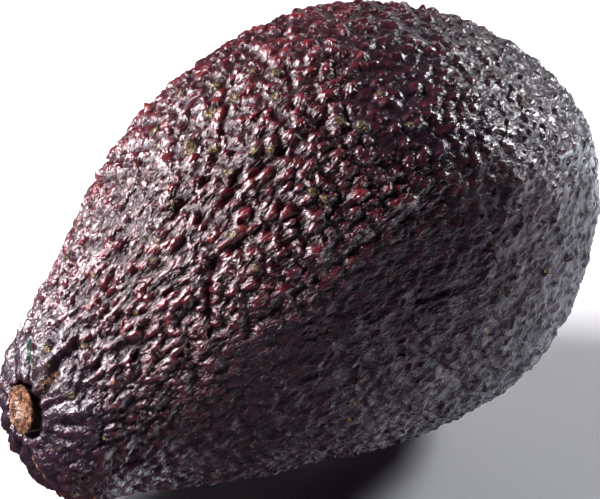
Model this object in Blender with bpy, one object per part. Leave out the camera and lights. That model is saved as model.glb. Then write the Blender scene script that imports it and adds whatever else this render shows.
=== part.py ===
"""A whole avocado lying on its side, with the woody button of its stem still in place.

The fruit frame has X along the fruit, from the stem end to the blossom end, and Z up the
fruit's upper side. The object is then laid down on a small flat spot, whose middle is the
origin, with its stem end towards -X and a little lower than its blossom end.
"""

import math
import random

import bmesh
import bpy
from mathutils import Matrix, Vector, noise

MM = 0.001

# Body
HALF_LENGTH = 49.4 * MM
HALF_WIDTH = 32.6 * MM
# Cosine terms of the girth from the stem end to the blossom end: the taper comes first,
# and the others make the ends blunt.
GIRTH = (-0.168, 0.059, 0.081, 0.072, 0.021, 0.028)
# The middle line leaves the axis by a square and a cube term, both largest at the ends.
DROOP = (-3.4 * MM, -4.5 * MM)
SWAY = (-1.8 * MM, 2.4 * MM)
# The step over the unit sphere that slopes are taken with
STEP = 0.004

# How it lies
STEM_DOWN = math.radians(12.3)
# The body's lowest point, in the fruit frame once it is turned by the tilt
LOWEST_POINT = Vector((5.4, -0.4, -31.4)) * MM
SPOT_DEPTH = 0.45 * MM
# The relief dies away between these two distances from the middle of the spot.
SPOT_CALM = (5.5 * MM, 12.0 * MM)

# Skin: each pebble is a dome over its own cell, and the cells' borders are the grooves
PEBBLES = 560
PEBBLE_JITTER = 0.3
PEBBLE_HEIGHT = (0.9 * MM, 1.7 * MM)
# How far out from the middle the shoulder of a dome lies, and its share of the height
SHOULDER_REACH = 0.56
SHOULDER_HEIGHT = 0.8
GROOVE_DEPTH = 0.7 * MM
RIDGE_HEIGHT = 0.55 * MM
RIDGE_STRETCH = Vector((3.0, 8.0, 8.0))
RIDGE_PLACE = Vector((1.7, 9.2, 3.3))
RIDGE_CONTRAST = 0.9
LUMP_HEIGHT = 0.7 * MM
LUMP_SCALE = 2.6
LUMP_PLACE = Vector((7.1, 2.3, 4.9))
# Broad swellings and hollows: (direction from the middle, reach over a unit sphere, height)
SWELLINGS = (
    ((0.50, -0.68, -0.53), 0.30, 0.6 * MM),
    ((-0.57, -0.46, -0.67), 0.25, 0.7 * MM),
    ((-0.70, 0.54, 0.46), 0.28, -0.6 * MM),
    ((0.29, 0.53, 0.80), 0.25, -0.5 * MM),
)
SKIN_SEED = 11
SHARP_ANGLE = math.radians(55)

# Stem end: a pit that the button stands in, with a swollen collar and folds round it
STEM_TOWARDS = Vector((-0.972, -0.031, 0.233)).normalized()
STEM_LEANS = Vector((-0.92, 0.06, 0.39)).normalized()
COLLAR_RADIUS = 8.0 * MM
COLLAR_HEIGHT = 0.9 * MM
COLLAR_SPREAD = 3.6 * MM
FOLDS = 9
FOLD_DEPTH = 1.1 * MM
# How unevenly the folds are spread: the largest turn off, and how fast it changes
FOLD_WANDER = (0.5, 3.0)
FOLD_REACH = 18.0 * MM
# The mesh is finer this near to the stem, to hold the folds.
FINE_REACH = 12.0 * MM
PIT_DEPTH = 3.9 * MM
PIT_MOUTH_RADIUS = 4.9 * MM
PIT_FLOOR_RADIUS = 3.8 * MM
PIT_SIDES = 28
CUTTER_OVERRUN = 4.0 * MM

# Button
BUTTON_GAP = 0.3 * MM
BUTTON_SIDES = 22
# (height above the foot, radius) in millimetres, from the foot to the broken top
BUTTON_PROFILE = (
    (0.0, 2.6),
    (0.5, 2.9),
    (1.7, 2.9),
    (2.6, 3.05),
    (3.3, 3.5),
    (3.9, 3.65),
    (3.85, 2.5),
    (4.0, 1.3),
)
BUTTON_TOP = 4.2 * MM
# How ragged the wood is: deep in the pit, and from this height where it shows
BUTTON_RAGGED = (0.07, 0.22)
BUTTON_SHOWS = 3.0
BUTTON_SEED = 5

SKIN_COLOUR = (0.055, 0.018, 0.028, 1.0)
SKIN_ROUGHNESS = 0.38
WOOD_COLOUR = (0.46, 0.22, 0.09, 1.0)
WOOD_ROUGHNESS = 0.9


def clear_scene():
    for old in list(bpy.data.objects):
        bpy.data.objects.remove(old)


def smooth_step(value):
    value = min(1.0, max(0.0, value))
    return value * value * (3 - 2 * value)


def body_point(way):
    """The point of the smooth body that a unit vector stands for."""
    along = -way.x
    turn = math.acos(max(-1.0, min(1.0, along)))
    girth = 1 + sum(term * math.cos((k + 1) * turn) for k, term in enumerate(GIRTH))
    droop = DROOP[0] * along**2 + DROOP[1] * along**3
    sway = SWAY[0] * along**2 + SWAY[1] * along**3
    return Vector(
        (
            HALF_LENGTH * way.x,
            HALF_WIDTH * girth * way.y + sway,
            HALF_WIDTH * girth * way.z + droop,
        )
    )


def body_normal(way):
    """The body's outward normal there, from two short steps over the unit sphere."""
    side = way.cross(Vector((0.0, 0.6, 0.8))).normalized()
    other = way.cross(side)
    slopes = [
        body_point((way + STEP * s).normalized()) - body_point((way - STEP * s).normalized())
        for s in (side, other)
    ]
    normal = slopes[0].cross(slopes[1]).normalized()
    return normal if normal.dot(way) > 0 else -normal


def laid_down():
    """From the fruit frame to the frame of the object at rest."""
    tilt = Matrix.Rotation(-STEM_DOWN, 4, "Y")
    spot = LOWEST_POINT + Vector((0.0, 0.0, SPOT_DEPTH))
    return Matrix.Translation(-spot) @ tilt


def pebble_ways():
    """Unit vectors spread evenly on a sphere along a spiral, each moved a little at random."""
    draw = random.Random(SKIN_SEED)
    golden_angle = math.pi * (3 - math.sqrt(5))
    spacing = math.sqrt(4 * math.pi / PEBBLES)
    ways = []
    for i in range(PEBBLES):
        x = 1 - (2 * i + 1) / PEBBLES
        ring = math.sqrt(1 - x * x)
        turn = i * golden_angle
        way = Vector((x, ring * math.cos(turn), ring * math.sin(turn)))
        nudge = Vector(draw.uniform(-1, 1) for _ in range(3))
        ways.append((way + PEBBLE_JITTER * spacing * nudge).normalized())
    return ways


def lumps(way):
    """The broad unevenness that every fruit has, as a height."""
    height = LUMP_HEIGHT * noise.noise(way * LUMP_SCALE + LUMP_PLACE)
    for towards, reach, swelling in SWELLINGS:
        away = (way - Vector(towards).normalized()).length / reach
        height += swelling * math.exp(-(away**2))
    return height


def ridges(way):
    """Long low ridges that run from the stem end to the blossom end, from 0 to 1."""
    place = Vector(a * b for a, b in zip(way, RIDGE_STRETCH))
    return smooth_step(0.5 + RIDGE_CONTRAST * noise.noise(place + RIDGE_PLACE))


def stem_end(way):
    """The collar and the folds round the stem's pit, as a height."""
    centre = body_point(STEM_TOWARDS)
    offset = body_point(way) - centre
    distance = offset.length
    if distance > FOLD_REACH:
        return 0.0
    side = STEM_TOWARDS.cross(Vector((0, 1, 0))).normalized()
    other = STEM_TOWARDS.cross(side)
    turn = math.atan2(offset.dot(other), offset.dot(side))
    most, speed = FOLD_WANDER
    wander = most * noise.noise(speed * Vector((math.cos(turn), math.sin(turn), 0.0)))
    fold = 0.5 - 0.5 * math.cos(FOLDS * (turn + wander))
    fade = smooth_step((FOLD_REACH - distance) / (FOLD_REACH - PIT_MOUTH_RADIUS))
    collar = math.exp(-(((distance - COLLAR_RADIUS) / COLLAR_SPREAD) ** 2))
    return COLLAR_HEIGHT * collar - FOLD_DEPTH * fade * (1 - fold) ** 2


def calm(point):
    """0 at the spot that the fruit rests on, where the skin is pressed flat, and 1 away from it."""
    start, end = SPOT_CALM
    return smooth_step((point.length - start) / (end - start))


def cells_of(ways):
    """Splits the unit sphere into one cell for each way: a hexagon or so round it."""
    shell = bmesh.new()
    for way in ways:
        shell.verts.new(way)
    bmesh.ops.convex_hull(shell, input=shell.verts)
    middles = shell.verts[:]
    between_middles = shell.edges[:]
    bmesh.ops.poke(shell, faces=shell.faces[:])
    bmesh.ops.rotate_edges(shell, edges=between_middles)
    bmesh.ops.dissolve_verts(shell, verts=middles)
    return shell


def raise_pebbles(shell, relief):
    """Turns each cell into a dome of a ring of shoulders and a top, and notes every height."""
    draw = random.Random(SKIN_SEED + 1)
    for corner in shell.verts:
        corner[relief] = RIDGE_HEIGHT * ridges(corner.co.normalized()) - GROOVE_DEPTH
    for cell in shell.faces[:]:
        corners = cell.verts[:]
        middle = cell.calc_center_median()
        height = draw.uniform(*PEBBLE_HEIGHT)
        top = shell.verts.new(middle)
        top[relief] = height - GROOVE_DEPTH
        ring = []
        for corner in corners:
            shoulder = shell.verts.new(middle.lerp(corner.co, SHOULDER_REACH))
            shoulder[relief] = SHOULDER_HEIGHT * height - GROOVE_DEPTH
            ring.append(shoulder)
        for k, corner in enumerate(corners):
            after = (k + 1) % len(corners)
            shell.faces.new((corner, corners[after], ring[after], ring[k]))
            shell.faces.new((ring[k], ring[after], top))
        shell.faces.remove(cell)


def refine_stem_end(shell):
    """Cuts each triangle near the stem into four."""
    bmesh.ops.triangulate(shell, faces=shell.faces[:])
    stem = body_point(STEM_TOWARDS)
    near = {v for v in shell.verts if (body_point(v.co.normalized()) - stem).length < FINE_REACH}
    fine = [edge for edge in shell.edges if near.issuperset(edge.verts)]
    bmesh.ops.subdivide_edges(shell, edges=fine, cuts=1, use_grid_fill=True)
    bmesh.ops.triangulate(shell, faces=shell.faces[:])


def fruit_mesh():
    shell = cells_of(pebble_ways())
    relief = shell.verts.layers.float.new("relief")
    raise_pebbles(shell, relief)
    refine_stem_end(shell)
    lay = laid_down()
    stem = body_point(STEM_TOWARDS)
    for vert in shell.verts:
        way = vert.co.normalized()
        point = body_point(way)
        pebbled = smooth_step((point - stem).length / FOLD_REACH)
        height = (vert[relief] * pebbled + lumps(way)) * calm(lay @ point) + stem_end(way)
        vert.co = lay @ (point + height * body_normal(way))
    bmesh.ops.recalc_face_normals(shell, faces=shell.faces)
    cut_flat_spot(shell)
    mesh = bpy.data.meshes.new("fruit")
    shell.to_mesh(mesh)
    shell.free()
    mesh.shade_smooth()
    mesh.set_sharp_from_angle(angle=SHARP_ANGLE)
    return mesh


def cut_flat_spot(shell):
    whole = shell.verts[:] + shell.edges[:] + shell.faces[:]
    bmesh.ops.bisect_plane(
        shell, geom=whole, plane_co=(0, 0, 0), plane_no=(0, 0, -1), clear_outer=True
    )
    rim = [edge for edge in shell.edges if edge.is_boundary]
    bmesh.ops.holes_fill(shell, edges=rim, sides=0)
    bmesh.ops.recalc_face_normals(shell, faces=shell.faces)


def pit_frame():
    """A frame with its origin in the middle of the pit's floor and Z out along the button."""
    outwards = (laid_down().to_3x3() @ STEM_LEANS).normalized()
    mouth = laid_down() @ body_point(STEM_TOWARDS)
    turn = Vector((0, 0, 1)).rotation_difference(outwards).to_matrix().to_4x4()
    return Matrix.Translation(mouth - PIT_DEPTH * outwards) @ turn


def pit_cutter():
    """The pit's space, a cone that widens outwards and runs on past the skin."""
    slope = (PIT_MOUTH_RADIUS - PIT_FLOOR_RADIUS) / PIT_DEPTH
    length = PIT_DEPTH + CUTTER_OVERRUN
    cone = bmesh.new()
    bmesh.ops.create_cone(
        cone,
        cap_ends=True,
        segments=PIT_SIDES,
        radius1=PIT_FLOOR_RADIUS,
        radius2=PIT_FLOOR_RADIUS + slope * length,
        depth=length,
        matrix=Matrix.Translation((0, 0, length / 2)),
    )
    mesh = bpy.data.meshes.new("pit_cutter")
    cone.to_mesh(mesh)
    cone.free()
    cutter = bpy.data.objects.new("pit_cutter", mesh)
    bpy.context.scene.collection.objects.link(cutter)
    cutter.matrix_world = pit_frame()
    cutter.hide_render = True
    cutter.display_type = "WIRE"
    return cutter


def button_mesh():
    """The button's turned profile, with a ragged top where the stalk broke off."""
    draw = random.Random(BUTTON_SEED)
    turned = bmesh.new()
    rings = []
    for height, radius in BUTTON_PROFILE:
        rough = BUTTON_RAGGED[height > BUTTON_SHOWS]
        ring = []
        for k in range(BUTTON_SIDES):
            turn = 2 * math.pi * k / BUTTON_SIDES
            reach = (radius + draw.uniform(-rough, 0.4 * rough)) * MM
            rise = (height + (draw.uniform(-rough, rough) if height else 0.0)) * MM
            ring.append(turned.verts.new((reach * math.cos(turn), reach * math.sin(turn), rise)))
        rings.append(ring)
    for lower, upper in zip(rings, rings[1:]):
        for k in range(BUTTON_SIDES):
            after = (k + 1) % BUTTON_SIDES
            turned.faces.new((lower[k], lower[after], upper[after], upper[k]))
    turned.faces.new(reversed(rings[0]))
    peak = turned.verts.new((0, 0, BUTTON_TOP))
    for k in range(BUTTON_SIDES):
        turned.faces.new((rings[-1][k], rings[-1][(k + 1) % BUTTON_SIDES], peak))
    bmesh.ops.recalc_face_normals(turned, faces=turned.faces)
    mesh = bpy.data.meshes.new("stem_button")
    turned.to_mesh(mesh)
    turned.free()
    return mesh


def material(name, colour, roughness):
    made = bpy.data.materials.new(name)
    made.use_nodes = True
    shader = made.node_tree.nodes["Principled BSDF"]
    shader.inputs["Base Color"].default_value = colour
    shader.inputs["Roughness"].default_value = roughness
    shader.inputs["Metallic"].default_value = 0.0
    return made


def build_fruit():
    fruit = bpy.data.objects.new("fruit", fruit_mesh())
    bpy.context.scene.collection.objects.link(fruit)
    fruit.data.materials.append(material("skin", SKIN_COLOUR, SKIN_ROUGHNESS))
    pit = fruit.modifiers.new("pit", "BOOLEAN")
    pit.operation = "DIFFERENCE"
    pit.solver = "EXACT"
    pit.object = pit_cutter()
    return fruit


def build_button():
    button = bpy.data.objects.new("stem_button", button_mesh())
    bpy.context.scene.collection.objects.link(button)
    button.data.shade_smooth()
    button.data.materials.append(material("button_wood", WOOD_COLOUR, WOOD_ROUGHNESS))
    button.matrix_world = pit_frame() @ Matrix.Translation((0, 0, BUTTON_GAP))
    return button


clear_scene()
build_fruit()
build_button()
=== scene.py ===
"""The fine skin and the fine stem button of an avocado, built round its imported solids.

The fruit frame has X along the fruit, from the stem end to the blossom end. Every place on
the skin is a way: a unit vector that the body formula turns into a point. Lengths are in
millimetres until a mesh is made from them.
"""

import math

import bpy
import numpy as np
from mathutils import Matrix, Vector, kdtree, noise


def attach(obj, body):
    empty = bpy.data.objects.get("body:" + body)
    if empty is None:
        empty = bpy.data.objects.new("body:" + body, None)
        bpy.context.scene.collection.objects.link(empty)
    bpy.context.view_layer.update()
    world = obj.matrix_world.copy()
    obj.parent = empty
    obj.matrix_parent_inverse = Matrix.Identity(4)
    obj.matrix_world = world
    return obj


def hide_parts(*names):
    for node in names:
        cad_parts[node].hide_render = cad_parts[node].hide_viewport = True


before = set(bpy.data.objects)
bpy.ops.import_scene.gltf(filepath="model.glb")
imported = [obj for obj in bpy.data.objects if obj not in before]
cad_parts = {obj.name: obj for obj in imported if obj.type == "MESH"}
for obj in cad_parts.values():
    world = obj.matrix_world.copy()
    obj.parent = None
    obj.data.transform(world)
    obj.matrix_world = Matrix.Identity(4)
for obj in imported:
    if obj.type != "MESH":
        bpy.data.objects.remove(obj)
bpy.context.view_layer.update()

MM = 0.001

# Body, as in the solids
HALF_LENGTH = 49.4
HALF_WIDTH = 32.6
GIRTH = (-0.168, 0.059, 0.081, 0.072, 0.021, 0.028)
DROOP = (-3.4, -4.5)
SWAY = (-1.8, 2.4)
STEP = 0.004
STEM_DOWN = math.radians(12.3)
LOWEST_POINT = np.array((5.4, -0.4, -31.4))
SPOT_DEPTH = 0.45
SPOT_CALM = (5.5, 12.0)
LUMP_HEIGHT = 0.7
LUMP_SCALE = 2.6
LUMP_PLACE = (7.1, 2.3, 4.9)
SWELLINGS = (
    ((0.50, -0.68, -0.53), 0.30, 0.6),
    ((-0.57, -0.46, -0.67), 0.25, 0.7),
    ((-0.70, 0.54, 0.46), 0.28, -0.6),
    ((0.29, 0.53, 0.80), 0.25, -0.5),
)
STEM_TOWARDS = (-0.972, -0.031, 0.233)
STEM_LEANS = (-0.92, 0.06, 0.39)
COLLAR_RADIUS = 8.0
COLLAR_HEIGHT = 0.38
COLLAR_SPREAD = 3.6
PIT_DEPTH = 3.9
BUTTON_GAP = 0.3

# Skin mesh: squares along each edge of the cube that is blown up to a sphere, and the
# triangles that are left once flat places are thinned out
GRID = 252
TRIANGLES = 197000

SKIN_SEED = 11
# Sides of the fruit, as (middle, noise of the border, facing where it starts, and where it is
# full): the matte side is low, the wavy one is glossy with low beads, and the upper one is red.
# A noise is given as (height, scale, place) all through.
SIDES = {
    "matte": ((0.15, -0.93, -0.33), (0.08, 4.0, 3.0), 0.45, 0.75),
    "wavy": ((0.66, -0.50, 0.56), (0.05, 4.0, 8.0), 0.74, 0.92),
    "red": ((-0.25, -0.10, 0.96), (0.06, 3.0, 6.0), 0.40, 0.85),
}

# Kinds of bump, as (number, seed, smallest and largest radius, most turn off the fruit's
# length): mounds that lift a few nodules each, the nodules, beads on and between them, and the
# folds of the matte side
MOUNDS = (750, SKIN_SEED + 6, (1.8, 3.2), 0.4)
KNOBS = (3500, SKIN_SEED, (0.65, 1.30), 0.4)
BEADS = (7000, SKIN_SEED + 1, (0.40, 0.85), 1.0)
RUCKS = (8000, SKIN_SEED + 2, (0.4, 0.95), 0.9)
# The lowest bump of each kind, as a share of the highest, and how pointed they are
MOUND_SHAPE = (0.3, 1.2)
KNOB_SHAPE = (0.45, 0.75)
BEAD_SHAPE = (0.3, 0.75)
RUCK_SHAPE = (0.3, 1.4)
# How far a bump is moved off the even spiral, and how many bumps a point looks at
BUMP_JITTER = 0.42
NEAR_BUMPS = 7
# Length over width of the least and the most drawn out nodule, as (on the body, added on the
# neck), and where the neck begins and is full
NODULE_STRETCH = ((1.0, 0.4), (1.6, 1.2))
NECK = (-0.1, 0.75)
FOLD_STRETCH = (1.3, 3.2)
# How far the bumps are pushed out of shape, and how fast that changes
WARP = 0.42
WARP_SCALE = 0.55
WARP_APART = 11.0

# Long low forms that run along the fruit, as the scale and place of their noise
LONG_FORMS = {
    "ridge": ((5.0, 13.0, 13.0), (1.7, 9.2, 3.3)),
    "crumple": ((9.0, 22.0, 22.0), 6.0),
    "wrinkle": ((22.0, 45.0, 45.0), 5.0),
    "ripple": ((50.0, 80.0, 80.0), 9.0),
}
# Heights of the forms. Nodules stand on a ground, with a rounded hollow where they meet it.
KNOB_HEIGHT = 0.95
GROUND = {"bead": 0.42, "ridge": 0.12}
HOLLOW = 0.05
BEAD_HEIGHT = 0.13
MOUND_HEIGHT = 0.40
GLOSSY = {"bead": 0.46, "blunt_knob": 0.24, "mound": 0.30}
BLUNTING = 1.6
FOLDED = {"ruck": 0.46, "bead": 0.20, "mound": 0.4, "crumple": 0.2}
EVERYWHERE = {"ridge": 0.28, "wrinkle": 0.16}
RIPPLE_HEIGHT = 0.10
# How far the foot of the relief lies under the smooth body
SINK = 0.60

# Camera, as a distance, an azimuth and an elevation from the middle of the fruit frame
CAMERA_DISTANCE = 430.0
CAMERA_AZIMUTH = math.radians(-33.9)
CAMERA_ELEVATION = math.radians(30.0)
LENS = 171.3
SENSOR = 36.0
CAMERA_SHIFT = (0.0158, 0.0128)
PICTURE = (600, 499)
CLIP_START = 0.01

# How a crease strays from its route, as a noise, and how steeply its sides rise
CREASE_WANDER = (0.25, 0.7, 0.0)
CREASE_PROFILE = 1.5
# Creases over the skin, as pixels of the picture that they run through: (depth, width, route)
CREASES = (
    (0.9, 0.45, ((222, 128), (219, 148), (205, 180), (190, 196), (175, 207), (171, 216))),
    (0.7, 0.50, ((330, 115), (302, 140), (270, 160), (235, 190), (212, 214))),
    (0.7, 0.50, ((214, 262), (208, 290), (210, 330))),
    (0.5, 0.60, ((250, 330), (300, 290), (360, 250), (420, 210))),
    (0.5, 0.50, ((330, 192), (400, 182), (470, 165))),
    (0.5, 0.40, ((402, 355), (430, 358), (448, 372))),
    (0.6, 0.40, ((418, 303), (440, 297), (456, 290))),
    (0.5, 0.45, ((135, 228), (120, 262), (100, 300))),
    (0.5, 0.45, ((330, 60), (345, 95), (350, 130))),
)

# Corky spots, as (pixel of the picture, radius): cracked patches on top of nodules and
# small rings. The hidden sides get as many at random.
CORKS = (
    ((180, 94), 1.0), ((216, 86), 0.9), ((234, 97), 1.0), ((210, 112), 1.4), ((250, 72), 1.0),
    ((151, 129), 1.0), ((152, 146), 0.9), ((134, 131), 0.7), ((188, 147), 1.4), ((211, 148), 1.1),
    ((135, 162), 1.0), ((171, 203), 0.9), ((254, 151), 0.9), ((228, 172), 1.0), ((271, 150), 0.9),
    ((313, 191), 0.9), ((326, 198), 0.8), ((232, 234), 0.9), ((362, 126), 1.1), ((339, 122), 0.9),
    ((275, 75), 1.0), ((275, 96), 1.0), ((255, 268), 0.8), ((78, 238), 0.7), ((152, 261), 0.7),
    ((144, 240), 0.5), ((158, 240), 0.6), ((95, 276), 0.5), ((84, 345), 0.6), ((136, 312), 0.6),
    ((68, 258), 0.6), ((410, 126), 0.6), ((381, 92), 0.7), ((468, 113), 0.6), ((526, 100), 0.9),
    ((492, 283), 0.6), ((510, 294), 0.5), ((546, 272), 0.6), ((505, 257), 0.4), ((508, 242), 0.6),
    ((518, 264), 0.6), ((360, 382), 0.5), ((414, 419), 0.6), ((391, 241), 0.4), ((522, 308), 0.5),
    ((73, 394), 0.7), ((52, 366), 0.4), ((39, 368), 0.5), ((50, 350), 0.8), ((46, 389), 0.4),
    ((61, 447), 0.4), ((118, 411), 0.4), ((105, 437), 0.5), ((75, 491), 0.5), ((80, 480), 0.6),
)
HIDDEN_CORKS = 60
CORK_RADIUS = (0.4, 1.2)
CORK_WANDER = (0.30, 1.1, 40.0)
CORK_RIM = (1.1, 0.8)
CORK_HEIGHT = 0.20
CORK_PIT = 0.12
CORK_PIT_REACH = 0.45
FURTHEST_SHARE = 1.5
# A point is on the hidden side if it faces the camera less than this.
HIDDEN_FACING = -0.15

# Stains, as the pixels that they run through
GREEN_STREAK = ((30, 340), (31, 348), (29, 357))
GREEN_WIDTH = 0.55
TAN_SCARS = (
    ((37, 455), (42, 465), (46, 473)),
    ((45, 387), (50, 381), (54, 376)),
)
TAN_WIDTH = 0.30
STAIN_WANDER = (0.2, 1.4, 2.0)

# Further off than anything that is measured, in millimetres and in pixels
FAR = 9.0
OUT_OF_SIGHT = 1e6
# Steps along the fruit that its area is summed up in
AREA_STEPS = 2001


def smooth_step(value):
    value = np.clip(value, 0.0, 1.0)
    return value * value * (3 - 2 * value)


def between(value, start, end):
    """0 before start, 1 after end, and a smooth turn between them."""
    return smooth_step((value - start) / (end - start))


def unit(rows):
    return rows / np.linalg.norm(rows, axis=-1, keepdims=True)


def noisy(ways, scale, place=0.0):
    """Smooth noise from about -1 to 1 at each of the ways."""
    spots = ways * np.asarray(scale) + np.asarray(place)
    return np.array([noise.noise(spot) for spot in spots.tolist()])


def layers(points, *rows):
    """Noises added up, each given as (height, scale, place)."""
    return sum(height * noisy(points, scale, place) for height, scale, place in rows)


def stacked(forms, heights):
    """Named forms added up, each at its height."""
    return sum(height * forms[name] for name, height in heights.items())


def sphere_grid(steps):
    """A cube of square faces blown up to a unit sphere: its points and its quads."""
    line = np.tan(np.linspace(-math.pi / 4, math.pi / 4, steps + 1))
    a, b = np.meshgrid(line, line, indexing="ij")
    one = np.ones_like(a)
    sides = ((one, a, b), (-one, b, a), (b, one, a), (a, -one, b), (a, b, one), (b, a, -one))
    points = np.concatenate([np.stack(side, -1).reshape(-1, 3) for side in sides])
    row, column = np.meshgrid(np.arange(steps), np.arange(steps), indexing="ij")
    corner = (row * (steps + 1) + column).ravel()
    quad = np.stack([corner, corner + steps + 1, corner + steps + 2, corner + 1], -1)
    quads = np.concatenate([quad + side * (steps + 1) ** 2 for side in range(6)])
    _, first, index = np.unique(
        np.round(points, 6), axis=0, return_index=True, return_inverse=True
    )
    return unit(points[first]), index.reshape(-1)[quads]


def girth_at(along):
    turn = np.arccos(np.clip(along, -1, 1))
    return 1 + sum(term * np.cos((k + 1) * turn) for k, term in enumerate(GIRTH))


def body_points(ways):
    along = -ways[..., 0]
    across = HALF_WIDTH * girth_at(along)
    droop = DROOP[0] * along**2 + DROOP[1] * along**3
    sway = SWAY[0] * along**2 + SWAY[1] * along**3
    return np.stack(
        [HALF_LENGTH * ways[..., 0], across * ways[..., 1] + sway, across * ways[..., 2] + droop],
        -1,
    )


def slope(ways, side):
    """How the body's point moves when its way moves towards side."""
    return body_points(unit(ways + STEP * side)) - body_points(unit(ways - STEP * side))


def body_normals(ways):
    side = unit(np.cross(ways, (0.0, 0.6, 0.8)))
    normals = unit(np.cross(slope(ways, side), slope(ways, np.cross(ways, side))))
    return normals * np.sign((normals * ways).sum(-1, keepdims=True))


def tilt():
    return np.array(Matrix.Rotation(-STEM_DOWN, 3, "Y"))


def laid_down(points):
    """From the fruit frame to the frame of the object at rest."""
    return points @ tilt().T - LOWEST_POINT - (0.0, 0.0, SPOT_DEPTH)


def facing(ways, direction):
    """The cosine between each way and a direction."""
    return ways @ unit(np.array(direction))


def side_share(ways, name):
    """0 away from one of the fruit's sides, and 1 well inside it."""
    towards, border, start, full = SIDES[name]
    return between(facing(ways, towards) + layers(ways, border), start, full)


def lumps(ways):
    height = LUMP_HEIGHT * noisy(ways, LUMP_SCALE, LUMP_PLACE)
    for direction, reach, swelling in SWELLINGS:
        away = np.linalg.norm(ways - unit(np.array(direction)), axis=1) / reach
        height += swelling * np.exp(-(away**2))
    return height


def spread_ways(count, draw):
    """Ways spread evenly over the body along a spiral, each moved a little at random."""
    angle = np.linspace(0, math.pi, AREA_STEPS)
    ring = HALF_WIDTH * girth_at(-np.cos(angle)) * np.sin(angle)
    length = np.hypot(HALF_LENGTH * np.sin(angle), np.gradient(ring, angle))
    area = np.cumsum(ring * length)
    place = np.interp((np.arange(count) + 0.5) / count, area / area[-1], angle)
    turn = np.arange(count) * math.pi * (3 - math.sqrt(5))
    ways = np.stack(
        [-np.cos(place), np.sin(place) * np.cos(turn), np.sin(place) * np.sin(turn)], -1
    )
    nudge = draw.uniform(-1, 1, (count, 3))
    return unit(ways + BUMP_JITTER * nudge * math.sqrt(4 * math.pi / count))


class Nodules:
    """Rounded bumps spread over the body, and where each point of the skin lies on them.

    Each bump is an ellipse whose long axis runs along the fruit, turned a little at random.
    t is the share of the way from a bump's middle to its rim.
    """

    def __init__(self, points, count, seed, radius, twist, stretch):
        draw = np.random.RandomState(seed)
        self.ways = spread_ways(count, draw)
        middles = body_points(self.ways)
        normals = body_normals(self.ways)
        along = slope(self.ways, np.array((1.0, 0.0, 0.0)))
        along = unit(along - normals * (along * normals).sum(1, keepdims=True))
        across = np.cross(normals, along)
        turn = draw.uniform(-twist, twist, (count, 1))
        size = draw.uniform(*radius, count)
        low, high = stretch(self.ways)
        long = draw.uniform(low, high)
        self.level = draw.uniform(0, 1, count)
        first = (np.cos(turn) * along + np.sin(turn) * across) / (size * np.sqrt(long))[:, None]
        second = (np.cos(turn) * across - np.sin(turn) * along) / (size / np.sqrt(long))[:, None]

        tree = kdtree.KDTree(count)
        for k, middle in enumerate(middles.tolist()):
            tree.insert(middle, k)
        tree.balance()
        self.owners = np.array(
            [[hit[1] for hit in tree.find_n(point, NEAR_BUMPS)] for point in points.tolist()]
        )
        offset = points[:, None, :] - middles[self.owners]
        self.t = np.hypot(
            (offset * first[self.owners]).sum(-1), (offset * second[self.owners]).sum(-1)
        )

    def bumps(self, lowest, power):
        """The height of the highest bump at each point, from 0 to 1, and whose it is."""
        tallness = lowest + (1.0 - lowest) * self.level[self.owners]
        height = tallness * np.clip(1 - self.t**2, 0, 1) ** power
        best = height.argmax(1)
        rows = np.arange(len(best))
        return height[rows, best], self.owners[rows, best]


def blend_max(a, b, softness):
    """The higher of two heights, with a rounded hollow where they meet."""
    return softness * np.logaddexp(a / softness, b / softness)


def camera_axes():
    """The camera's right, up and back, in the frame of the object at rest."""
    azimuth, elevation = CAMERA_AZIMUTH, CAMERA_ELEVATION
    back = np.array(direction(azimuth, elevation))
    right = np.array((math.cos(azimuth), math.sin(azimuth), 0.0))
    return right, np.cross(back, right), back


def direction(azimuth, elevation):
    """The way out to a light or a camera: azimuth 0 is towards -Y, and 90 towards +X."""
    flat = math.cos(elevation)
    return (math.sin(azimuth) * flat, -math.cos(azimuth) * flat, math.sin(elevation))


def fruit_middle():
    return -LOWEST_POINT - (0.0, 0.0, SPOT_DEPTH)


def seen_at(points, normals, pixels):
    """Which of the points is seen at each of some pixels of the picture."""
    right, up, back = camera_axes()
    eye = fruit_middle() + CAMERA_DISTANCE * back
    offset = laid_down(points) - eye
    zoom = LENS / SENSOR * PICTURE[0] / -(offset @ back)
    x = PICTURE[0] * (0.5 - CAMERA_SHIFT[0]) + zoom * (offset @ right)
    y = PICTURE[1] * 0.5 + PICTURE[0] * CAMERA_SHIFT[1] - zoom * (offset @ up)
    hidden = (normals @ tilt().T * offset).sum(1) > 0
    off_sight = OUT_OF_SIGHT * hidden
    return [int((np.hypot(x - px, y - py) + off_sight).argmin()) for px, py in pixels]


def route_distance(points, route):
    """How far each point is from a route of straight runs."""
    nearest = np.full(len(points), np.inf)
    for start, end in zip(route, route[1:]):
        run = end - start
        share = np.clip((points - start) @ run / (run @ run), 0, 1)
        nearest = np.minimum(nearest, np.linalg.norm(points - start - share[:, None] * run, axis=1))
    return nearest


def creases(points, normals):
    wander = layers(points, CREASE_WANDER)
    depth = np.zeros(len(points))
    for deep, width, pixels in CREASES:
        route = points[seen_at(points, normals, pixels)]
        away = route_distance(points, route) + wander
        profile = (np.maximum(away, 0) / width) ** CREASE_PROFILE
        depth = np.maximum(depth, deep * np.exp(-profile))
    return depth


def stain(points, normals, routes, width):
    """1 in the middle of some stained streaks, and 0 away from them."""
    away = np.full(len(points), np.inf)
    for pixels in routes:
        away = np.minimum(away, route_distance(points, points[seen_at(points, normals, pixels)]))
    return np.exp(-(((away + layers(points, STAIN_WANDER)) / width) ** 2))


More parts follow.
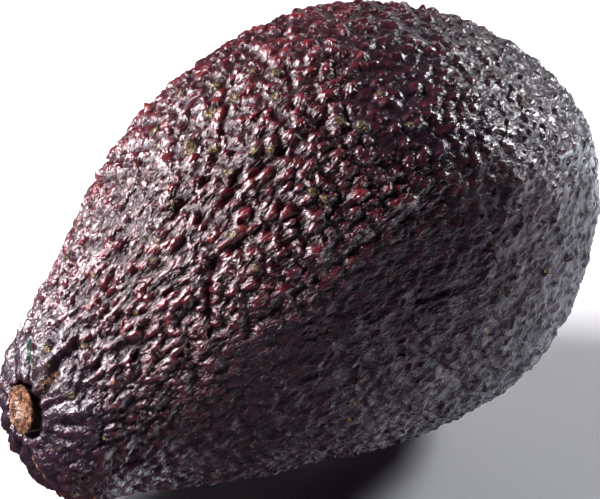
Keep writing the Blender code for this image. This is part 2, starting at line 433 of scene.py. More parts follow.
def stem_polar(points):
    """Distance from the stem's axis, and turn round it from its upper side."""
    axis = unit(np.array(STEM_LEANS))
    upper = unit(np.array((0.0, 0.0, 1.0)) - axis[2] * axis)
    left = np.cross(axis, upper)
    offset = points - body_points(unit(np.array(STEM_TOWARDS)))
    flat = offset - np.outer(offset @ axis, axis)
    return np.linalg.norm(flat, axis=1), np.arctan2(flat @ left, flat @ upper)


# Pleats that run out from the stem's pit: (depth, width, ((distance from its axis, turn), ...))
PLEATS = (
    (0.9, 0.55, ((4.5, -42), (9.3, -23), (14.6, -20))),
    (0.9, 0.60, ((4.2, -10), (7.1, 12), (10.3, 26), (14.0, 30))),
    (0.8, 0.55, ((4.0, -172), (8.2, -193), (12.6, -196), (17.0, -200))),
    (0.6, 0.45, ((4.5, -150), (7.0, -160), (10.1, -160), (13.0, -157))),
    (0.5, 0.50, ((4.2, 45), (8.0, 55), (12.0, 60))),
    (0.6, 0.50, ((4.2, 75), (7.0, 82), (10.0, 84))),
    (0.6, 0.45, ((4.2, 100), (8.0, 102), (11.0, 100))),
    (0.6, 0.45, ((4.2, 122), (8.0, 122), (12.0, 120))),
    (0.6, 0.45, ((4.2, 141), (9.0, 143), (13.0, 141))),
    (0.4, 0.40, ((5.2, -62), (8.0, -56), (10.5, -50))),
    (0.35, 0.35, ((5.3, -78), (8.3, -79), (12.0, -74))),
    (0.4, 0.40, ((5.3, -96), (9.0, -93), (12.0, -90))),
    (0.35, 0.35, ((5.2, -112), (9.0, -108), (13.0, -106))),
    (0.4, 0.40, ((4.8, -130), (9.0, -128), (12.0, -126))),
)
# A pleat fades out over this stretch round its last point.
PLEAT_FADE = (-3.5, 0.5)
# The pit's mouth hugs the button, apart from a gap on this side of it.
MOUTH_RADIUS = 4.15
MOUTH_GAP = 0.7
MOUTH_GAP_TURN = math.radians(-92)
MOUTH_GAP_SPREAD = 0.7
MOUTH_RAGGED = 0.22
MOUTH_LOBES = 2
MOUTH_PLACE = 0.3
PIT_WALL = 0.45

# Between these distances from the stem's axis the nodules grow from a share to full height.
STEM_RELIEF = 0.25
STEM_RELIEF_GROWS = (5.0, 13.0)
# Between these the lobes and wrinkles of the collar die away, and the neck's bloom.
COLLAR_FADE = (9.0, 15.0)
NECK_FADE = (9.0, 22.0)
LOBE_HEIGHT = 0.35
LOBE_SLOPE = 1.5
LIP_HEIGHT = 0.3
LIP_WIDTH = 0.7
# Wrinkles that run outwards: how many there are round the stem, and how long they are drawn
SPOKES = 6.5
SPOKE_CHANGE = 0.22
WRINKLES = ((0.32, 1.0, 5.0), (0.16, 2.3, 8.0))


def turned(angle):
    """An angle brought within half a turn of 0."""
    return (angle + math.pi) % (2 * math.pi) - math.pi


def pleats(radius, turn):
    depth = np.zeros(len(radius))
    nearest = np.full(len(radius), FAR)
    for deep, width, route in PLEATS:
        radii, turns = np.array(route).T
        line = np.radians(np.interp(radius, radii, turns))
        away = np.abs(turned(turn - line)) * radius
        away = np.hypot(away, np.maximum(radius - radii[-1], 0))
        fade = 1 - between(radius, *(radii[-1] + PLEAT_FADE))
        depth = np.maximum(depth, deep * fade * np.exp(-away / width))
        nearest = np.minimum(nearest, away)
    return depth, nearest


def mouth_radius(turn):
    ring = [(MOUTH_LOBES * math.cos(a), MOUTH_LOBES * math.sin(a), MOUTH_PLACE) for a in turn]
    ragged = MOUTH_RAGGED * np.array([noise.noise(spot) for spot in ring])
    gap = np.exp(-((turned(turn - MOUTH_GAP_TURN) / MOUTH_GAP_SPREAD) ** 2))
    return MOUTH_RADIUS + MOUTH_GAP * gap + ragged


def nodule_stretch(seeds):
    neck = between(-seeds[:, 0], *NECK)
    return [least + more * neck for least, more in NODULE_STRETCH]


def fold_stretch(seeds):
    return FOLD_STRETCH


def skin_relief(ways, points, normals):
    """The height of the skin over the smooth body, with what its material needs to know."""
    matte, wavy, red = (side_share(ways, name) for name in ("matte", "wavy", "red"))
    shift = [noisy(points, WARP_SCALE, WARP_APART * k) for k in range(3)]
    warped = points + WARP * np.stack(shift, -1)
    forms = {name: noisy(ways, *noise_at) for name, noise_at in LONG_FORMS.items()}
    forms["mound"], _ = Nodules(warped, *MOUNDS, nodule_stretch).bumps(*MOUND_SHAPE)
    knob, owner = Nodules(warped, *KNOBS, nodule_stretch).bumps(*KNOB_SHAPE)
    forms["blunt_knob"] = np.minimum(BLUNTING * knob, 1)
    forms["bead"], _ = Nodules(warped, *BEADS, nodule_stretch).bumps(*BEAD_SHAPE)
    forms["ruck"], _ = Nodules(warped, *RUCKS, fold_stretch).bumps(*RUCK_SHAPE)

    pebbled = blend_max(KNOB_HEIGHT * knob, stacked(forms, GROUND), HOLLOW)
    pebbled = pebbled + BEAD_HEIGHT * forms["bead"] + MOUND_HEIGHT * forms["mound"]
    height = pebbled * (1 - wavy) + stacked(forms, GLOSSY) * wavy
    height = height * (1 - matte) + stacked(forms, FOLDED) * matte
    height += stacked(forms, EVERYWHERE)
    height += RIPPLE_HEIGHT * forms["ripple"]
    height -= creases(points, normals)
    spot, spot_share = corks(points, normals)
    height += CORK_HEIGHT * spot - CORK_PIT * between(spot_share, CORK_PIT_REACH, 0.0)
    own = np.random.RandomState(SKIN_SEED + 3).uniform(0, 1, KNOBS[0])
    looks = {
        "knob": knob,
        "bead": forms["bead"],
        "cell": own[owner],
        "matte": matte,
        "wavy": wavy,
        "red": red,
        "green": stain(points, normals, [GREEN_STREAK], GREEN_WIDTH),
        "tan": stain(points, normals, TAN_SCARS, TAN_WIDTH),
        "cork": spot,
        "cork_share": np.minimum(spot_share, FURTHEST_SHARE),
    }
    return height - SINK, looks


def corks(points, normals):
    """Where the corky spots are: 1 inside them, and the share of the way out to their rims."""
    middles = points[seen_at(points, normals, [pixel for pixel, _ in CORKS])].tolist()
    radii = [radius for _, radius in CORKS]
    draw = np.random.RandomState(SKIN_SEED + 5)
    away = normals @ tilt().T @ camera_axes()[2] < HIDDEN_FACING
    for k in draw.choice(np.flatnonzero(away), HIDDEN_CORKS, replace=False):
        middles.append(points[k])
        radii.append(draw.uniform(*CORK_RADIUS))
    share = np.full(len(points), FAR)
    for middle, radius in zip(middles, radii):
        share = np.minimum(share, np.linalg.norm(points - middle, axis=1) / radius)
    share = share * (1 + layers(points, CORK_WANDER))
    return between(share, *CORK_RIM), share


def stem_end(radius, turn):
    """The collar, the pleats and the lip round the stem's pit, as a height, and the pit's share."""
    collar = COLLAR_HEIGHT * np.exp(-(((radius - COLLAR_RADIUS) / COLLAR_SPREAD) ** 2))
    groove, away = pleats(radius, turn)
    mouth = mouth_radius(turn)
    fade = 1 - between(radius, *COLLAR_FADE)
    lobes = LOBE_HEIGHT * np.minimum(away / LOBE_SLOPE, 1) * fade
    lip = LIP_HEIGHT * np.exp(-(((radius - mouth - LIP_WIDTH) / LIP_WIDTH) ** 2))
    spokes = [SPOKES * np.cos(turn), SPOKES * np.sin(turn), SPOKE_CHANGE * radius]
    wrinkles = layers(np.stack(spokes, -1), *WRINKLES) * fade
    pit = 1 - between(radius, mouth - PIT_WALL, mouth)
    return collar + lobes - groove + lip + wrinkles, pit


def in_scene(name, data):
    """A new object, linked to the scene."""
    made = bpy.data.objects.new(name, data)
    bpy.context.scene.collection.objects.link(made)
    return made


def store(mesh, looks):
    """Keeps a number for each point of the mesh under each name."""
    for name, values in looks.items():
        attribute = mesh.attributes.new(name, "FLOAT", "POINT")
        attribute.data.foreach_set("value", values.astype(np.float32))


def fruit_skin():
    ways, quads = sphere_grid(GRID)
    points = body_points(ways)
    normals = body_normals(ways)
    radius, turn = stem_polar(points)
    at_stem = ways[:, 0] < 0
    relief, looks = skin_relief(ways, points, normals)
    grown = STEM_RELIEF + (1 - STEM_RELIEF) * between(radius, *STEM_RELIEF_GROWS)
    relief *= np.where(at_stem, grown, 1.0)
    resting = np.linalg.norm(laid_down(points), axis=1)
    stem, pit = stem_end(radius, turn)
    height = (relief + lumps(ways)) * between(resting, *SPOT_CALM) + np.where(at_stem, stem, 0.0)
    sunk = np.where(at_stem, pit, 0.0)
    placed = points + normals * height[:, None]
    placed -= np.outer(sunk * PIT_DEPTH, unit(np.array(STEM_LEANS)))
    placed = laid_down(placed)
    placed[:, 2] = np.maximum(placed[:, 2], 0.0)
    looks["pit"] = sunk
    looks["collar"] = np.where(at_stem, 1 - between(radius, *NECK_FADE), 0.0)

    mesh = bpy.data.meshes.new("fruit_skin")
    mesh.from_pydata((placed * MM).tolist(), [], quads.tolist())
    store(mesh, looks)
    attribute = mesh.attributes.new("way", "FLOAT_VECTOR", "POINT")
    attribute.data.foreach_set("vector", ways.astype(np.float32).ravel())
    skin = in_scene("fruit_skin", mesh)
    thin_out(skin)
    skin.data.shade_smooth()
    return skin


def thin_out(piece):
    """Takes triangles away where the surface bends least, down to TRIANGLES."""
    thinning = piece.modifiers.new("thinning", "DECIMATE")
    thinning.ratio = TRIANGLES / (2 * len(piece.data.polygons))
    graph = bpy.context.evaluated_depsgraph_get()
    mesh = bpy.data.meshes.new_from_object(piece.evaluated_get(graph))
    piece.modifiers.clear()
    piece.data = mesh
    for vertex in mesh.vertices:
        vertex.co.z = max(vertex.co.z, 0.0)


# Button: (height above its foot, radius) from the foot to the broken face
BUTTON_PROFILE = (
    (0.0, 2.6),
    (0.5, 2.9),
    (2.0, 2.7),
    (3.0, 2.85),
    (3.5, 3.5),
    (3.75, 3.65),
    (3.9, 3.55),
)
BUTTON_STEPS = 40
BUTTON_FACE_STEPS = 34
BUTTON_SIDES = 168
BUTTON_FACE_RISE = 0.25
# The wood is ragged above the first of these heights over its foot, and fully so at the second.
BUTTON_SHOWS = (2.4, 3.6)
BUTTON_HIDDEN_SHARE = 0.35
# Nearer to the axis than this, the wood is moved outwards less.
BUTTON_FACE_CALM = 3.0
BUTTON_LOBES = (0.22, (0.45, 0.45, 0.2), 4.0)
BUTTON_SHREDS = ((0.16, (1.9, 1.9, 0.5), 7.0), (0.10, (4.2, 4.2, 1.2), 2.0))
BUTTON_CRUMBS = ((0.30, 1.1, 9.0), (0.24, 2.7, 3.0))
CHIP_HEIGHT = 0.16
CHIPS = (6.0, 1.0)


def pit_frame():
    """Axes with Z out along the button, and the middle of the pit's floor."""
    outwards = tilt() @ unit(np.array(STEM_LEANS))
    turn = Vector((0, 0, 1)).rotation_difference(Vector(outwards)).to_matrix()
    mouth = laid_down(body_points(unit(np.array(STEM_TOWARDS))))
    return np.array(turn), mouth - PIT_DEPTH * outwards


def button_rings():
    """The radius and the height of each ring, up the side and then in to the face's middle."""
    heights, radii = np.array(BUTTON_PROFILE).T
    run = np.concatenate([[0], np.cumsum(np.hypot(np.diff(heights), np.diff(radii)))])
    side = np.linspace(0, run[-1], BUTTON_STEPS)
    inward = np.linspace(1, 0, BUTTON_FACE_STEPS, endpoint=False)[1:]
    rings = np.concatenate([np.interp(side, run, radii), radii[-1] * inward])
    rises = np.concatenate(
        [np.interp(side, run, heights), heights[-1] + BUTTON_FACE_RISE * (1 - inward**2)]
    )
    return rings, rises


def button_faces(count):
    """Quads between the rings, and triangles to the middle of the foot and of the face."""
    foot_middle = count * BUTTON_SIDES
    last = (count - 1) * BUTTON_SIDES
    faces = []
    for ring in range(count - 1):
        low, high = ring * BUTTON_SIDES, (ring + 1) * BUTTON_SIDES
        for k in range(BUTTON_SIDES):
            after = (k + 1) % BUTTON_SIDES
            faces.append((low + k, low + after, high + after, high + k))
    for k in range(BUTTON_SIDES):
        after = (k + 1) % BUTTON_SIDES
        faces.append((after, k, foot_middle))
        faces.append((last + k, last + after, foot_middle + 1))
    return faces


def button_skin():
    rings, rises = button_rings()
    turn = np.linspace(0, 2 * math.pi, BUTTON_SIDES, endpoint=False)
    radius = np.repeat(rings[:, None], BUTTON_SIDES, 1)
    x, y = radius * np.cos(turn), radius * np.sin(turn)
    z = np.repeat(rises[:, None], BUTTON_SIDES, 1)
    points = np.stack([x, y, z], -1).reshape(-1, 3)
    face_middle = BUTTON_PROFILE[-1][0] + BUTTON_FACE_RISE
    points = np.concatenate([points, [(0, 0, 0), (0, 0, face_middle)]])
    from_axis = np.hypot(points[:, 0], points[:, 1])

    shows = between(points[:, 2], *BUTTON_SHOWS)
    ragged = layers(points, BUTTON_LOBES) + layers(points, *BUTTON_SHREDS)
    crumbs = layers(points, *BUTTON_CRUMBS) + CHIP_HEIGHT * np.abs(noisy(points, *CHIPS))
    outwards = points * (1, 1, 0) / np.maximum(from_axis, 1e-6)[:, None]
    rim = np.minimum(from_axis / BUTTON_FACE_CALM, 1)
    placed = points + outwards * (rim * (BUTTON_HIDDEN_SHARE + shows) * ragged)[:, None]
    placed[:, 2] += shows * crumbs
    turn_in, foot = pit_frame()
    placed = placed @ turn_in.T + foot + BUTTON_GAP * turn_in[:, 2]

    mesh = bpy.data.meshes.new("stem_button_wood")
    mesh.from_pydata((placed * MM).tolist(), [], button_faces(len(rings)))
    mesh.shade_smooth()
    share = from_axis / max(width for _, width in BUTTON_PROFILE)
    store(mesh, {"face": shows, "from_middle": share, "crumb": crumbs})
    return in_scene("stem_button_wood", mesh)


# Width of the edges between crinkled patches, and how small a grain is in its cell
CRINKLE_EDGE = 0.22
GRAIN_SHRINK = 1.55
# How a pattern is pushed about, as (fineness of the noise, furthest push), against its scale
CRINKLE_PUSH = (1.3, 1.1)
GRAIN_PUSH = (0.6, 0.7)
GRAIN_RANDOMNESS = 0.9


class Shader:
    """A material's node tree, with short calls that add one node and link it up."""

    def __init__(self, name):
        self.material = bpy.data.materials.new(name)
        self.material.use_nodes = True
        self.tree = self.material.node_tree
        self.surface = self.tree.nodes["Principled BSDF"]

    def add(self, kind, inputs=(), **settings):
        node = self.tree.nodes.new(kind)
        for key, value in settings.items():
            setattr(node, key, value)
        for key, value in dict(inputs).items():
            self.plug(node.inputs[key], value)
        return node

    def plug(self, socket, value):
        if isinstance(value, bpy.types.NodeSocket):
            self.tree.links.new(value, socket)
        else:
            socket.default_value = value

    def attribute(self, name):
        node = self.add("ShaderNodeAttribute", attribute_name=name)
        return node.outputs["Vector" if name == "way" else "Fac"]

    def math(self, operation, a, b=0.0, clamp=False):
        node = self.add("ShaderNodeMath", {0: a, 1: b}, operation=operation, use_clamp=clamp)
        return node.outputs[0]

    def ramp(self, value, start, end, low=0.0, high=1.0):
        """Maps start..end smoothly onto low..high."""
        inputs = {"Value": value, "From Min": start, "From Max": end, "To Min": low, "To Max": high}
        node = self.add("ShaderNodeMapRange", inputs, interpolation_type="SMOOTHSTEP")
        return node.outputs["Result"]

    def mix(self, share, a, b):
        """Colour a where share is 0, and colour b where it is 1."""
        node = self.add("ShaderNodeMix", data_type="RGBA")
        self.plug(node.inputs[0], share)
        self.plug(node.inputs[6], a)
        self.plug(node.inputs[7], b)
        return node.outputs[2]

    def scaled(self, vector, scale):
        inputs = {0: vector, 1: scale}
        return self.add("ShaderNodeVectorMath", inputs, operation="MULTIPLY").outputs[0]

    def noise(self, vector, scale, detail=3.0, roughness=0.55):
        inputs = {"Vector": vector, "Scale": scale, "Detail": detail, "Roughness": roughness}
        return self.add("ShaderNodeTexNoise", inputs).outputs["Fac"]

    def pushed(self, vector, scale, fineness, push):
        """The vector moved about by a noise, so that a pattern over it isn't regular."""
        shift = self.add("ShaderNodeTexNoise", {"Vector": vector, "Scale": fineness * scale})
        shift = self.scaled(shift.outputs["Color"], (push / scale,) * 3)
        inputs = {0: vector, 1: shift}
        return self.add("ShaderNodeVectorMath", inputs, operation="ADD").outputs[0]

    def crinkles(self, vector, scale):
        """0 along the edges of uneven patches, and higher inside them."""
        inputs = {"Vector": self.pushed(vector, scale, *CRINKLE_PUSH), "Scale": scale}
        cells = self.add("ShaderNodeTexVoronoi", inputs, feature="DISTANCE_TO_EDGE")
        return self.ramp(cells.outputs["Distance"], 0.0, CRINKLE_EDGE)

    def grains(self, vector, scale):
        """Rounded grains close together: 1 in the middle of each and 0 between them."""
        spot = self.pushed(vector, scale, *GRAIN_PUSH)
        inputs = {"Vector": spot, "Scale": scale, "Randomness": GRAIN_RANDOMNESS}
        cells = self.add("ShaderNodeTexVoronoi", inputs)
        share = self.math("MULTIPLY", cells.outputs["Distance"], GRAIN_SHRINK)
        return self.math("SUBTRACT", 1.0, self.math("MULTIPLY", share, share), clamp=True)

    def product(self, first, *others):
        for other in others:
            first = self.math("MULTIPLY", first, other)
        return first

    def bump(self, height, distance, strength=1.0, normal=None):
        inputs = {"Height": height, "Distance": distance, "Strength": strength}
        if normal is not None:
            inputs["Normal"] = normal
        return self.add("ShaderNodeBump", inputs).outputs["Normal"]


# Painted shade: the near-black colour of the low ground between the nodules
GROOVE_SHADE = (0.014, 0.003, 0.005, 1.0)
BURGUNDY = (0.125, 0.011, 0.017, 1.0)
GREEN = (0.012, 0.060, 0.035, 1.0)
PLUM = (0.062, 0.009, 0.014, 1.0)
SLATE = (0.015, 0.010, 0.018, 1.0)
# Orange tips on some nodules: partly the skin's own rust colour, partly a painted glow of light
# catching the tips
RUST_AND_TIP_GLOW = (0.26, 0.075, 0.018, 1.0)
TAN = (0.34, 0.19, 0.08, 1.0)
OLIVE = (0.13, 0.080, 0.018, 1.0)
STRAW = (0.36, 0.29, 0.17, 1.0)
# Near black for the corks' cracks and rims, and painted shade down in the stem's pit
CRACK_AND_PIT_SHADE = (0.010, 0.006, 0.004, 1.0)

# What the skin's mesh keeps for its material
SKIN_LOOKS = (
    "way", "knob", "bead", "cell", "matte", "wavy", "red",
    "green", "tan", "cork", "cork_share", "pit", "collar",
)
# Patterns over the object, as (scale per metre, detail, roughness)
MOTTLE = (220.0, 3.0, 0.55)
FINE = (1300.0, 4.0, 0.65)
FLAKES = (900.0, 3.0, 0.6)
FLECKS = (750.0, 2.0, 0.55)
CRACKS = 1500.0
# Patterns over the ways, stretched along the fruit, as (stretch, scale)
CRINKLES = ((0.7, 1.0, 1.0), 46.0)
LEATHER = ((0.45, 1.0, 1.0), 70.0)
LEATHER_DETAIL = (5.0, 0.62)
GRAINS = ((0.85, 1.0, 1.0), 27.0)
# What they do to the surface, as (depth, strength)
GRAIN_BUMP = (0.22 * MM, 0.9)
LEATHER_BUMP = (0.20 * MM, 0.8)
CRINKLE_BUMP = (0.10 * MM, 0.8)
FINE_BUMP = (0.035 * MM, 0.8)
CRACK_BUMP = (0.25 * MM, 1.0)
# Shares of the slate bloom on the matte side, on the neck and on the wavy side
BLOOM = {"matte": 0.7, "collar": 0.75, "wavy": 0.45}
MATTE_CALM = 0.85
GREEN_SHARE = 0.8
# From the glossy skin to the matte skin
SKIN_ROUGHNESS = (0.35, 0.48)
SKIN_SPECULAR = 0.25
SKIN_SPECULAR_TINT = (1.0, 0.82, 0.88, 1.0)
COAT_ROUGHNESS = 0.09
COAT_IOR = 1.6
# The coat's share on the matte skin, on corks, in the grooves and on the neck
COAT_MATTE = 0.12
COAT_CORK = 0.3
COAT_GROOVE = 0.25
COAT_NECK = 0.8
# Where the neck's bloom counts as its smoother skin
NECK_SKIN = (0.2, 0.8)


def tops(s, look, grain):
    """How far up a nodule the skin is, lower between the grains."""
    top = s.math("MAXIMUM", look["knob"], s.math("MULTIPLY", look["bead"], 0.7))
    return s.math("MULTIPLY", top, s.ramp(grain, 0.0, 0.5, 0.45, 1.0))


def nodule_colour(s, look, top, lively, mottle, fine):
    """Painted shade, near black, on the low ground between the nodules, plum slopes, burgundy tops
    with rust tips that are partly a painted glow of light catching them, and the slate bloom.
    """
    red = s.product(s.ramp(top, 0.25, 0.85), s.ramp(mottle, 0.30, 0.62))
    red = s.product(red, s.product(lively, s.ramp(look["wavy"], 0.0, 1.0, 1.0, 0.2)))
    red = s.product(red, s.ramp(look["red"], 0.0, 1.0, 0.10, 1.0))
    # Painted shade on the low ground between the nodules, plum up their slopes
    colour = s.mix(s.ramp(top, 0.05, 0.5), GROOVE_SHADE, PLUM)
    colour = s.mix(red, colour, BURGUNDY)
    dull = 0.0
    for name, most in BLOOM.items():
        dull = s.math("MAXIMUM", dull, s.math("MULTIPLY", look[name], most))
    colour = s.mix(dull, colour, SLATE)
    # Rust tips on the highest parts of some nodules, partly a painted glow of light catching them
    rust_and_glow_tip = s.product(s.ramp(top, 0.60, 0.90), s.ramp(look["cell"], 0.35, 0.7))
    rust_and_glow_tip = s.product(rust_and_glow_tip, s.product(lively, s.ramp(fine, 0.47, 0.62)))
    return s.mix(rust_and_glow_tip, colour, RUST_AND_TIP_GLOW)


def marked_colour(s, look, colour, place, mottle, crack):
    """The corks, the stains and the flecks, and painted shade, near black, down in the stem's pit.
    """
    flake = s.noise(place, *FLAKES)
    corky = s.mix(s.ramp(flake, 0.48, 0.62), OLIVE, STRAW)
    corky = s.mix(s.ramp(crack, 0.15, 0.6), CRACK_AND_PIT_SHADE, corky)
    corky = s.mix(s.ramp(look["cork_share"], 0.60, 0.80), corky, CRACK_AND_PIT_SHADE)
    colour = s.mix(s.product(look["cork"], s.ramp(mottle, 0.25, 0.5, 0.5, 1.0)), colour, corky)
    colour = s.mix(s.product(look["green"], GREEN_SHARE), colour, GREEN)
    colour = s.mix(s.product(look["tan"], s.ramp(flake, 0.42, 0.56)), colour, TAN)
    fleck = s.product(s.ramp(s.noise(place, *FLECKS), 0.68, 0.74), look["matte"])
    colour = s.mix(fleck, colour, OLIVE)
    # Painted shade: near black down in the stem's pit
    return s.mix(s.ramp(look["pit"], 0.3, 0.9), colour, CRACK_AND_PIT_SHADE)


def skin_gloss(s, look, top, fine):
    """A waxy coat that is thin on the matte side, on corks and in the grooves."""
    rough = s.ramp(look["matte"], 0.0, 1.0, *SKIN_ROUGHNESS)
    rough = s.math("ADD", rough, s.ramp(fine, 0.3, 0.7, -0.05, 0.08))
    s.plug(s.surface.inputs["Roughness"], rough)
    s.surface.inputs["Specular IOR Level"].default_value = SKIN_SPECULAR
    s.surface.inputs["Specular Tint"].default_value = SKIN_SPECULAR_TINT
    s.surface.inputs["Coat Roughness"].default_value = COAT_ROUGHNESS
    s.surface.inputs["Coat IOR"].default_value = COAT_IOR
    coat = s.product(
        s.ramp(look["matte"], 0.0, 1.0, 1.0, COAT_MATTE),
        s.ramp(look["cork"], 0.0, 1.0, 1.0, COAT_CORK),
        s.ramp(top, 0.0, 0.35, COAT_GROOVE, 1.0),
        s.ramp(look["collar"], *NECK_SKIN, 1.0, COAT_NECK),
    )
    s.plug(s.surface.inputs["Coat Weight"], coat)


def skin_bumps(s, look, grain, lively, fine, crack):
    """The grain and the leathery creases, which are calmer on the neck and the wavy side."""
    way, wavy, neck = look["way"], look["wavy"], look["collar"]
    crinkle_stretch, crinkle_scale = CRINKLES
    leather_stretch, leather_scale = LEATHER
    crinkle = s.crinkles(s.scaled(way, crinkle_stretch), crinkle_scale)
    leather = s.noise(s.scaled(way, leather_stretch), leather_scale, *LEATHER_DETAIL)
    rippled = s.product(s.ramp(wavy, 0.0, 1.0, 1.0, 0.45), s.ramp(neck, *NECK_SKIN, 1.0, 0.65))
    grained = s.product(lively, s.ramp(neck, *NECK_SKIN, 1.0, 0.3))
    grained = s.product(grained, s.ramp(wavy, 0.0, 1.0, 1.0, 0.55))
    creased = s.product(rippled, s.ramp(look["knob"], 0.35, 0.85, 1.0, 0.4))
    normal = s.bump(s.product(grain, grained), *GRAIN_BUMP)
    normal = s.bump(s.product(leather, creased), *LEATHER_BUMP, normal)
    normal = s.bump(s.product(crinkle, creased), *CRINKLE_BUMP, normal)
    normal = s.bump(s.product(fine, rippled), *FINE_BUMP, normal)
    normal = s.bump(s.product(look["cork"], s.ramp(crack, 0.1, 0.6)), *CRACK_BUMP, normal)
    s.plug(s.surface.inputs["Coat Normal"], normal)
    s.plug(s.surface.inputs["Normal"], normal)


def skin_material():
    s = Shader("avocado_skin")
    look = {name: s.attribute(name) for name in SKIN_LOOKS}
    place = s.add("ShaderNodeTexCoord").outputs["Object"]
    mottle = s.noise(place, *MOTTLE)
    fine = s.noise(place, *FINE)
    crack = s.crinkles(place, CRACKS)
    stretch, scale = GRAINS
    grain = s.grains(s.scaled(look["way"], stretch), scale)
    lively = s.math("SUBTRACT", 1.0, s.math("MULTIPLY", look["matte"], MATTE_CALM))
    top = tops(s, look, grain)
    colour = nodule_colour(s, look, top, lively, mottle, fine)
    colour = marked_colour(s, look, colour, place, mottle, crack)
    s.plug(s.surface.inputs["Base Color"], colour)
    skin_gloss(s, look, top, fine)
    skin_bumps(s, look, grain, lively, fine, crack)
    return s.material


# Pale wood in the button's middle, and a painted highlight on its raised crumbs
WOOD_PALE_AND_HIGHLIGHT = (0.56, 0.41, 0.34, 1.0)
WOOD_ORANGE = (0.26, 0.110, 0.050, 1.0)
WOOD_BROWN = (0.085, 0.028, 0.010, 1.0)
# Painted shade in the holes between the crumbs and on the button's sides sunk in the pit
WOOD_SHADE = (0.025, 0.010, 0.005, 1.0)
WOOD_GRAIN = (800.0, 5.0, 0.65)
WOOD_FINE = (3200.0, 3.0, 0.6)
WOOD_ROUGHNESS = (0.75, 0.95)
WOOD_SPECULAR = 0.3
WOOD_GRAIN_BUMP = (0.50 * MM, 1.0)
WOOD_FINE_BUMP = (0.20 * MM, 1.0)


def wood_material():
    """Orange-brown fibres, paler in the middle, with a painted highlight on the raised crumbs, and
    painted shade in the holes and on the sides sunk in the pit.
    """
    s = Shader("avocado_stem_wood")
    place = s.add("ShaderNodeTexCoord").outputs["Object"]
    grain = s.noise(place, *WOOD_GRAIN)
    fine = s.noise(place, *WOOD_FINE)
    middle = s.attribute("from_middle")
    crumb = s.attribute("crumb")
    colour = s.mix(s.ramp(grain, 0.46, 0.60), WOOD_BROWN, WOOD_ORANGE)
    # Pale towards the middle, and a painted highlight on the raised crumbs
    pale = s.math("ADD", s.ramp(middle, 0.62, 0.15, 0.0, 0.8), s.ramp(crumb, 0.05, 0.3, 0.0, 0.5))
    colour = s.mix(s.product(pale, s.ramp(fine, 0.4, 0.6)), colour, WOOD_PALE_AND_HIGHLIGHT)
    # Painted shade in the holes between the crumbs
    hole_shade = s.product(s.ramp(crumb, 0.0, -0.13), s.ramp(middle, 0.15, 0.5, 0.5, 1.0))
    colour = s.mix(hole_shade, colour, WOOD_SHADE)
    # Painted shade on the button's sides below its ragged face, down in the pit
    colour = s.mix(s.ramp(s.attribute("face"), 0.95, 0.5), colour, WOOD_SHADE)
    s.plug(s.surface.inputs["Base Color"], colour)
    s.plug(s.surface.inputs["Roughness"], s.ramp(fine, 0.3, 0.7, *WOOD_ROUGHNESS))
    s.surface.inputs["Specular IOR Level"].default_value = WOOD_SPECULAR
    normal = s.bump(grain, *WOOD_GRAIN_BUMP)
    s.plug(s.surface.inputs["Normal"], s.bump(fine, *WOOD_FINE_BUMP, normal))
    return s.material


# Floor: half its side in metres, and its look
FLOOR_REACH = 3.0
FLOOR_COLOUR = (0.84, 0.84, 0.86, 1.0)
FLOOR_ROUGHNESS = 0.9
FLOOR_SPECULAR = 0.1


def stage_floor():
    mesh = bpy.data.meshes.new("floor")
    sides = ((-1, -1), (1, -1), (1, 1), (-1, 1))
    mesh.from_pydata([(FLOOR_REACH * x, FLOOR_REACH * y, 0) for x, y in sides], [], [(0, 1, 2, 3)])
    floor = in_scene("floor", mesh)
    s = Shader("pale_floor")
    s.surface.inputs["Base Color"].default_value = FLOOR_COLOUR
    s.surface.inputs["Roughness"].default_value = FLOOR_ROUGHNESS
    s.surface.inputs["Specular IOR Level"].default_value = FLOOR_SPECULAR
    mesh.materials.append(s.material)
    floor.visible_glossy = False


# Soft lights: (name, azimuth, elevation, distance and size in metres, radiance, colour)
SOFTBOXES = (
    ("key", -127, 33, 0.75, (0.52, 0.38), 38.0, (1.0, 0.96, 0.99)),
    ("rim", 86, 28, 0.80, (0.20, 0.20), 40.0, (0.95, 0.97, 1.0)),
    ("back", 130, 15, 0.90, (0.60, 0.16), 2.0, (0.95, 0.97, 1.0)),
)


def softbox(name, azimuth, elevation, distance, size, radiance, colour):
    """A rectangular light that faces the fruit, as bright all over as radiance says."""
    lamp = bpy.data.lights.new(name, "AREA")
    lamp.shape = "RECTANGLE"
    lamp.size, lamp.size_y = size
    lamp.energy = radiance * math.pi * size[0] * size[1]
    lamp.color = colour
    made = in_scene(name, lamp)
    out = Vector(direction(math.radians(azimuth), math.radians(elevation)))
    made.location = Vector(fruit_middle() * MM) + distance * out
    made.rotation_euler = out.to_track_quat("Z", "Y").to_euler()


# The world's light: dim all round, with a broad glow low on one side that ends at the horizon
# and fades towards the shadow straight below. Heights run from -1, straight down, to 1.
WORLD_COLOUR = (0.83, 0.89, 1.0, 1.0)
WORLD_DIM = 0.03
WORLD_GLOW = 5.6
GLOW_TOWARDS = (62, -16)
GLOW_FACING = (0.3, 1.05)
GLOW_LOWEST = (-1.0, -0.6)
GLOW_BELOW = 0.3
GLOW_HORIZON = (0.03, -0.32)


def map_range(tree, value, source, target):
    """Maps one pair of numbers smoothly onto another."""
    node = tree.nodes.new("ShaderNodeMapRange")
    node.interpolation_type = "SMOOTHSTEP"
    for name, number in zip(("From Min", "From Max", "To Min", "To Max"), source + target):
        node.inputs[name].default_value = number
    tree.links.new(value, node.inputs["Value"])
    return node.outputs["Result"]


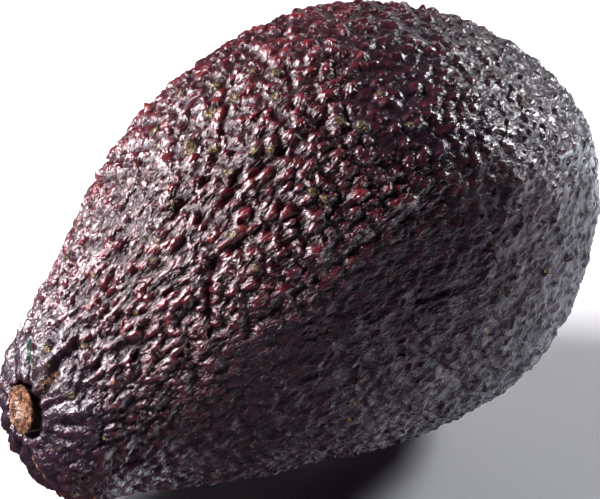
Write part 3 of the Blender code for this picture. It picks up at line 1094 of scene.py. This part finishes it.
def world_light():
    world = bpy.data.worlds.new("studio")
    world.use_nodes = True
    tree = world.node_tree
    place = tree.nodes.new("ShaderNodeTexCoord").outputs["Generated"]
    facing_glow = tree.nodes.new("ShaderNodeVectorMath")
    facing_glow.operation = "DOT_PRODUCT"
    facing_glow.inputs[1].default_value = direction(*map(math.radians, GLOW_TOWARDS))
    tree.links.new(place, facing_glow.inputs[0])
    height = tree.nodes.new("ShaderNodeSeparateXYZ")
    tree.links.new(place, height.inputs[0])
    strengths = (WORLD_DIM, WORLD_DIM + WORLD_GLOW)
    light = map_range(tree, facing_glow.outputs["Value"], GLOW_FACING, strengths)
    for stretch, least in ((GLOW_LOWEST, GLOW_BELOW), (GLOW_HORIZON, 0.0)):
        product = tree.nodes.new("ShaderNodeMath")
        product.operation = "MULTIPLY"
        tree.links.new(light, product.inputs[0])
        fade = map_range(tree, height.outputs["Z"], stretch, (least, 1.0))
        tree.links.new(fade, product.inputs[1])
        light = product.outputs[0]
    background = tree.nodes["Background"]
    background.inputs["Color"].default_value = WORLD_COLOUR
    tree.links.new(light, background.inputs["Strength"])
    bpy.context.scene.world = world


def studio():
    world_light()
    bpy.context.scene.view_settings.view_transform = "Standard"
    for box in SOFTBOXES:
        softbox(*box)


def photo_camera():
    lens = bpy.data.cameras.new("camera")
    lens.lens = LENS
    lens.sensor_width = SENSOR
    lens.sensor_fit = "HORIZONTAL"
    lens.shift_x, lens.shift_y = CAMERA_SHIFT
    lens.clip_start = CLIP_START
    camera = in_scene("camera", lens)
    out = Vector(direction(CAMERA_AZIMUTH, CAMERA_ELEVATION))
    camera.location = (Vector(fruit_middle()) + CAMERA_DISTANCE * out) * MM
    camera.rotation_euler = out.to_track_quat("Z", "Y").to_euler()
    bpy.context.scene.camera = camera


photo_camera()
studio()
stage_floor()

skin = fruit_skin()
skin.data.materials.append(skin_material())
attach(skin, "root")
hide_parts("fruit")

button = button_skin()
button.data.materials.append(wood_material())
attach(button, "root")
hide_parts("stem_button")
